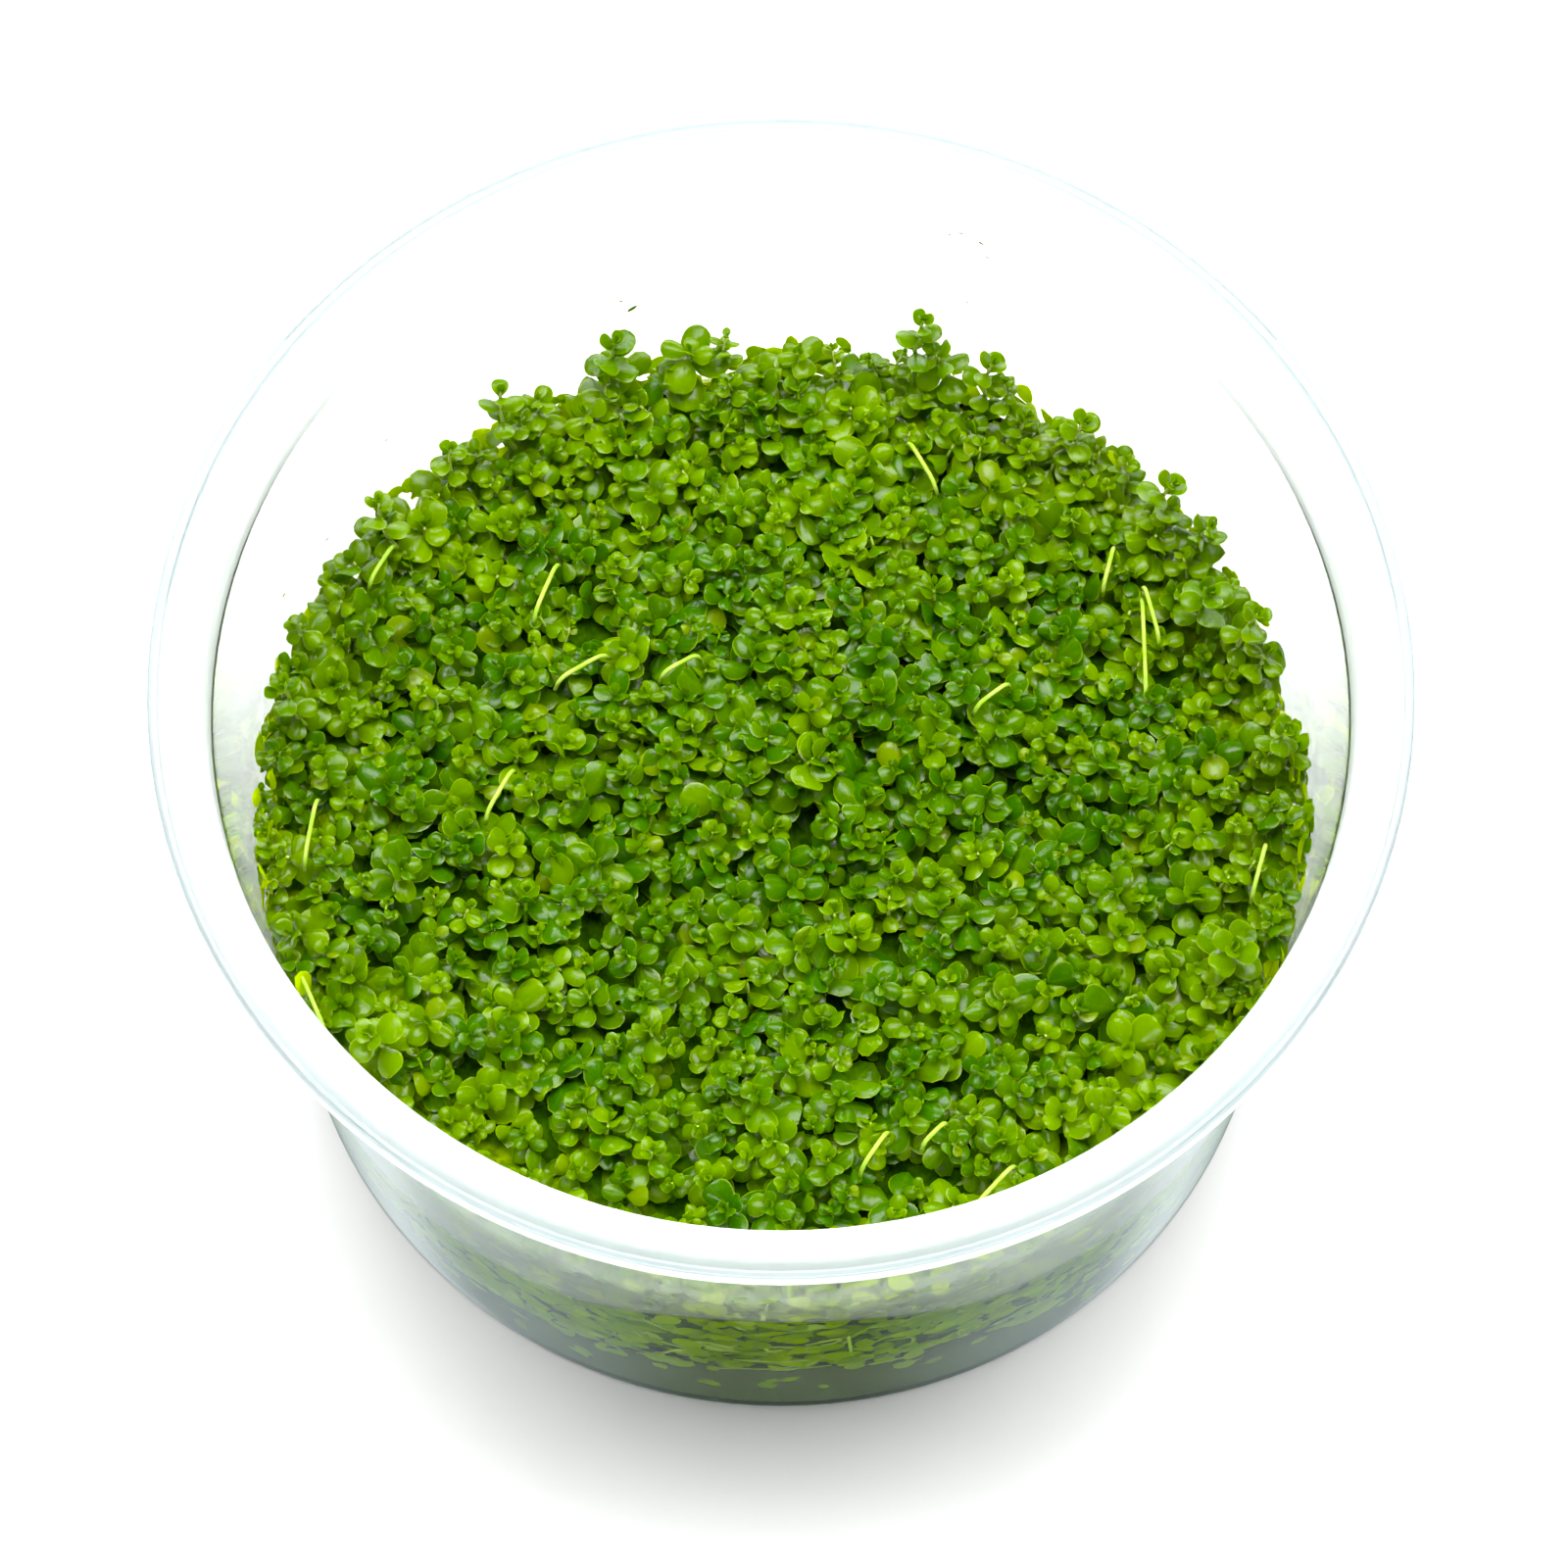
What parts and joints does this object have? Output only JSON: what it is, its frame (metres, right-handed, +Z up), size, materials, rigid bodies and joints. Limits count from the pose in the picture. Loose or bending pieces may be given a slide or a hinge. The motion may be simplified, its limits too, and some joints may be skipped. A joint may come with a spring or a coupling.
{
  "type": "dwarf baby tears",
  "caption": "Round clear plastic culture cup without a lid, holding a dense cushion of tiny-leaved dwarf baby tears rooted in clear nutrient gel.",
  "frame": {"origin": "centre of the cup's flat underside, on the surface that the cup stands on", "axes": "+Z up along the cup's axis; the picture's camera looks from -Y, so the taller shoots stand towards +Y"},
  "size_m": [0.1, 0.1, 0.06],
  "materials": {
    "cup_plastic": "gloss",
    "gel": "gloss",
    "stems": "satin",
    "leaves": "satin"
  },
  "bodies": {
    "root": {"culture_cup": "cup_plastic", "nutrient_gel": "gel", "stem_mat": "stems", "leaf_cushion": "leaves", "tall_shoot_01": "leaves", "tall_shoot_02": "leaves", "tall_shoot_03": "leaves", "tall_shoot_04": "leaves", "tall_shoot_05": "leaves", "tall_shoot_06": "leaves", "tall_shoot_07": "leaves", "tall_shoot_08": "leaves", "tall_shoot_09": "leaves", "tall_shoot_10": "leaves", "tall_shoot_11": "leaves", "tall_shoot_12": "leaves", "tall_shoot_13": "leaves", "tall_shoot_14": "leaves"}
  },
  "joints": []
}
